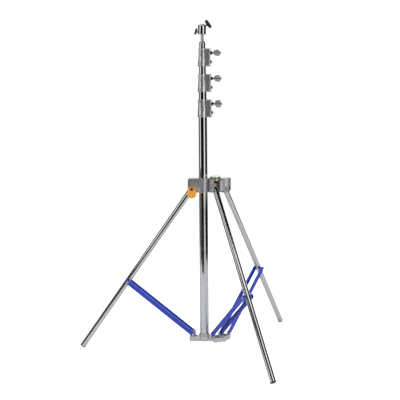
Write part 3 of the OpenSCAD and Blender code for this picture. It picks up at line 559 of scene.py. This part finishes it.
# Three legs: chrome tubes with an orange plug at the top, where the bolt goes through, a steel
# sleeve for the brace bolts, and a black rubber foot plugged into the lower end.
LEGS = ("left", "front", "rear")
leg_tilt = math.radians(35)
leg_r = 16.0 * MM
leg_len = 1104.0 * MM
leg_top = 20.0 * MM
plug_top = 26.0 * MM
brace_at = 641.0 * MM
foot_r = 16.8 * MM
foot_t = 4.2 * MM
foot_in = 24.0 * MM
recess_r = 0.5 * foot_r
recess = 1.0 * MM
pivot_hole = 5.08 * MM
sleeve_hole = 8.05 * MM
plug_end = 7.0 * MM
flange = 18.4 * MM
flange_edge = 2.0 * MM
rubber = coated(
    "rubber", (0.030, 0.030, 0.031), (0.07, 0.07, 0.07), low=0.5, high=0.68, grain=0.3)
for name in LEGS:
    hinge = joint("leg_" + name + "_fold")
    v = Vector(hinge["axis"])
    u = Vector((v.y, -v.x, 0))
    turn = Matrix((u, v, (0, 0, 1))).transposed().to_4x4()
    place = Matrix.Translation(hinge["pos_m"]) @ turn @ Matrix.Rotation(-leg_tilt, 4, "Y")
    axis = place.to_3x3() @ Vector((0, 0, 1))
    across = place.to_3x3() @ Vector((0, 1, 0))
    bore = leg_r - tube_wall
    inner = bore - fit_gap
    wall = [(bore, -leg_len), (leg_r, -leg_len), (leg_r, leg_top - tube_edge),
            (leg_r - tube_edge, leg_top), (bore, leg_top)]
    bolt = lathe(rod(pivot_hole, -2 * leg_r, 2 * leg_r), aim(place.translation, across), steps=48)
    sleeve_at = place @ Vector((0, 0, -brace_at))
    sleeve = lathe(rod(sleeve_hole, -2 * leg_r, 2 * leg_r), aim(sleeve_at, across), steps=48)
    leg_chrome = chrome("leg_" + name + "_chrome", axis)
    redo("leg_" + name + "_tube", leg_chrome, bm=drill(lathe(wall, place), bolt, sleeve))
    redo("leg_" + name + "_sleeve", steel_hardware, bevel=0.3 * MM)
    edge = flange_edge
    plug = [(0, plug_end), (inner, plug_end), (inner, leg_top), (flange, leg_top),
            (flange, plug_top - edge), (flange - 0.3 * edge, plug_top - 0.3 * edge),
            (flange - edge, plug_top), (0, plug_top)]
    redo("leg_" + name + "_plug", orange_plastic, bevel=0.3 * MM, bm=lathe(plug, place, steps=64))
    sole, soft = -leg_len - foot_t, 0.6 * MM
    foot = [(0, sole + recess), (recess_r, sole + recess), (recess_r + soft, sole),
            (foot_r - soft, sole), (foot_r - 0.3 * soft, sole + 0.3 * soft), (foot_r, sole + soft),
            (foot_r, -leg_len - soft), (foot_r - soft, -leg_len), (inner, -leg_len),
            (inner, foot_in - leg_len), (0, foot_in - leg_len)]
    bm = lathe(foot, place)
    for vert in bm.verts:
        vert.co.z = max(vert.co.z, 0.0)
    redo("leg_" + name + "_foot", rubber, bm=bm)


# Three braces: two bars of pressed steel channel each, painted blue, with the open side towards
# the leg. A bolt at each end is the pivot, with a domed head outside the bar.
# The bright blue along the bars' edges is a painted highlight that stands for the sheen on the bends.
blue_paint = coated(
    "blue_paint", (0.016, 0.052, 0.52), (0.10, 0.22, 0.92),
    low=0.3, high=0.42, grain=0.1, Coat_Weight=0.35, Coat_Roughness=0.06)
for name in LEGS:
    redo("brace_" + name + "_bars", blue_paint, bevel=1.2 * MM)
    redo("brace_" + name + "_bolts", bright_bolts, bevel=0.3 * MM)


# Head on the spigot: a chrome plated steel barrel with a socket on top. The screw that clamps
# what stands in the socket has a dark cast T bar. The one on the left clamps the spigot, and is
# cast in one piece with its wings.
redo("head_body", chrome("head_chrome", low=0.03, high=0.08), bevel=0.6 * MM)
redo("head_screw", screw_steel, bevel=0.2 * MM)
dark_cast = coated(
    "dark_cast", (0.10, 0.10, 0.105), (0.45, 0.45, 0.45), low=0.22, high=0.36, grain=0.2, metal=1.0)
soften(redo("head_handle", dark_cast), voxel=0.8 * MM, rounds=4)
soften(redo("head_wing_screw", dark_cast), voxel=0.6 * MM, rounds=3)


# The studio round the stand: a white paper floor in even white light, with three soft lamps. Dark
# and grey cards stand round it and only show in the chrome, as its dark stripes.
def stage_mesh(name, verts, faces, finish):
    mesh = bpy.data.meshes.new(name)
    mesh.from_pydata(verts, [], faces)
    mesh.materials.append(finish)
    piece = bpy.data.objects.new(name, mesh)
    bpy.context.scene.collection.objects.link(piece)
    return piece


def at_stage(azimuth, distance, height):
    """A place round the column: azimuth 0 is towards the camera and 90 to its right."""
    a = math.radians(azimuth)
    return (column_x + distance * math.sin(a), column_y - distance * math.cos(a), height)


floor_half = 5.2
paper, tree, shader = new_finish("paper", Roughness=1.0, Specular_IOR_Level=0.0)
seen = add(tree, "LightPath").outputs["Is Camera Ray"]
tree.links.new(tint(tree, seen, (0.62, 0.62, 0.62), (0.95, 0.95, 0.95)), shader["Base Color"])
shader["Emission Color"].default_value = (1, 1, 1, 1)
vary(tree, shader["Emission Strength"], seen, 0.0, 0.62, 0.0, 1.0)
corners = [(x * floor_half, y * floor_half, 0) for x, y in ((-1, -1), (1, -1), (1, 1), (-1, 1))]
stage_mesh("floor", corners, [(0, 1, 2, 3)], paper)


def plain_card(name, shade):
    finish, _, shader = new_finish(name, Roughness=1.0, Specular_IOR_Level=0.0)
    shader["Base Color"].default_value = (shade, shade, shade, 1)
    return finish


card = plain_card("dark_card", 0.01)
grey_card = plain_card("grey_card", 0.10)
card_r = 7.5
card_top = 5.0
stage_steps = 16


def stage_sheet(name, azimuths, near, far, finish=card):
    """A curved sheet between two azimuths, from (distance, height) near to far."""
    verts = []
    for i in range(stage_steps + 1):
        a = azimuths[0] + (azimuths[1] - azimuths[0]) * i / stage_steps
        verts += [at_stage(a, *near), at_stage(a, *far)]
    faces = [(2 * i, 2 * i + 2, 2 * i + 3, 2 * i + 1) for i in range(stage_steps)]
    piece = stage_mesh(name, verts, faces, finish)
    piece.visible_camera = False
    piece.visible_diffuse = False
    piece.visible_shadow = False
    piece.visible_transmission = False


ground = 0.001
stage_sheet("card_front", (-46, 9), (card_r, 0), (card_r, card_top))
stage_sheet("card_front_low", (-58, -46), (card_r, 0), (card_r, 1.45))
stage_sheet("card_front_top", (-58, -46), (card_r, 3.3), (card_r, card_top))
stage_sheet("card_near_left", (-95, -42), (1.6, 0.15), (1.6, 0.85), grey_card)
stage_sheet("card_middle", (9, 21), (card_r, 0), (card_r, 2.4))
stage_sheet("card_right", (51, 124), (card_r, 0), (card_r, card_top))
stage_sheet("card_left", (-132, -80), (card_r, 0), (card_r, 1.9), grey_card)
stage_sheet("card_left_high", (-180, -81), (card_r, 1.9), (card_r, 2.25), grey_card)
stage_sheet("card_left_top", (-160, -81), (card_r, 2.25), (card_r, card_top))
stage_sheet("ceiling_left", (-160, -45), (card_r, card_top), (2.5, card_top))
stage_sheet("ceiling_front", (-45, 12), (card_r, card_top), (4.6, card_top))
stage_sheet("ceiling_right", (57, 140), (card_r, card_top), (3.5, card_top))
stage_sheet("ceiling_near", (-45, 140), (3.5, card_top), (0.0, card_top))
stage_sheet("ground_front", (-50, 8), (1.95, ground), (card_r, ground))
stage_sheet("ground_right", (47, 124), (2.4, ground), (card_r, ground))
stage_sheet("ground_left", (-128, -88), (3.0, ground), (card_r, ground), grey_card)

world = bpy.data.worlds.new("studio")
world.use_nodes = True
bpy.context.scene.world = world
tree = world.node_tree
background = tree.nodes["Background"]
background.inputs["Color"].default_value = (1, 1, 1, 1)
seen = add(tree, "LightPath").outputs
shown = seen["Is Camera Ray"]
for ray in ("Is Glossy Ray", "Is Transmission Ray"):
    shown = add(tree, "Math", {"operation": "MAXIMUM"}, _0=shown, _1=seen[ray]).outputs[0]
vary(tree, background.inputs["Strength"], shown, 0.6, 1.0, 0.0, 1.0)
lit_height = 1.0


def lamp(name, azimuth, distance, height, size, power):
    """A soft lamp that points at the column and doesn't show in the chrome."""
    light = bpy.data.lights.new(name, "AREA")
    light.shape = "RECTANGLE"
    light.size, light.size_y = size
    light.energy = power
    piece = bpy.data.objects.new(name, light)
    piece.location = at_stage(azimuth, distance, height)
    piece.rotation_mode = "QUATERNION"
    beam = Vector((column_x, column_y, lit_height)) - piece.location
    piece.rotation_quaternion = beam.to_track_quat("-Z", "Y")
    bpy.context.scene.collection.objects.link(piece)
    piece.visible_glossy = False


lamp("lamp_left", azimuth=-60, distance=4.5, height=1.9, size=(0.9, 2.6), power=60)
lamp("lamp_right", azimuth=43, distance=4.5, height=1.9, size=(0.6, 3.2), power=55)
lamp("lamp_top", azimuth=0, distance=0.1, height=4.5, size=(2.2, 2.2), power=60)


# The camera stands at the photograph's place, five metres off, and looks slightly down on the
# leg casting.
camera = bpy.data.cameras.new("camera")
camera.sensor_width = 36
camera.lens = 83.6
camera.clip_end = 100
eye = bpy.data.objects.new("camera", camera)
bpy.context.scene.collection.objects.link(eye)
bpy.context.scene.camera = eye
eye_back, eye_height = 5.0899, 1.6079
yaw, nod, roll = 0.00375, -0.14751, -0.00817
turn = (Matrix.Rotation(yaw, 4, "Z") @ Matrix.Rotation(math.pi / 2 + nod, 4, "X")
        @ Matrix.Rotation(roll, 4, "Z"))
eye.matrix_world = Matrix.Translation((column_x, column_y - eye_back, eye_height)) @ turn

bpy.context.scene.view_settings.view_transform = "Standard"
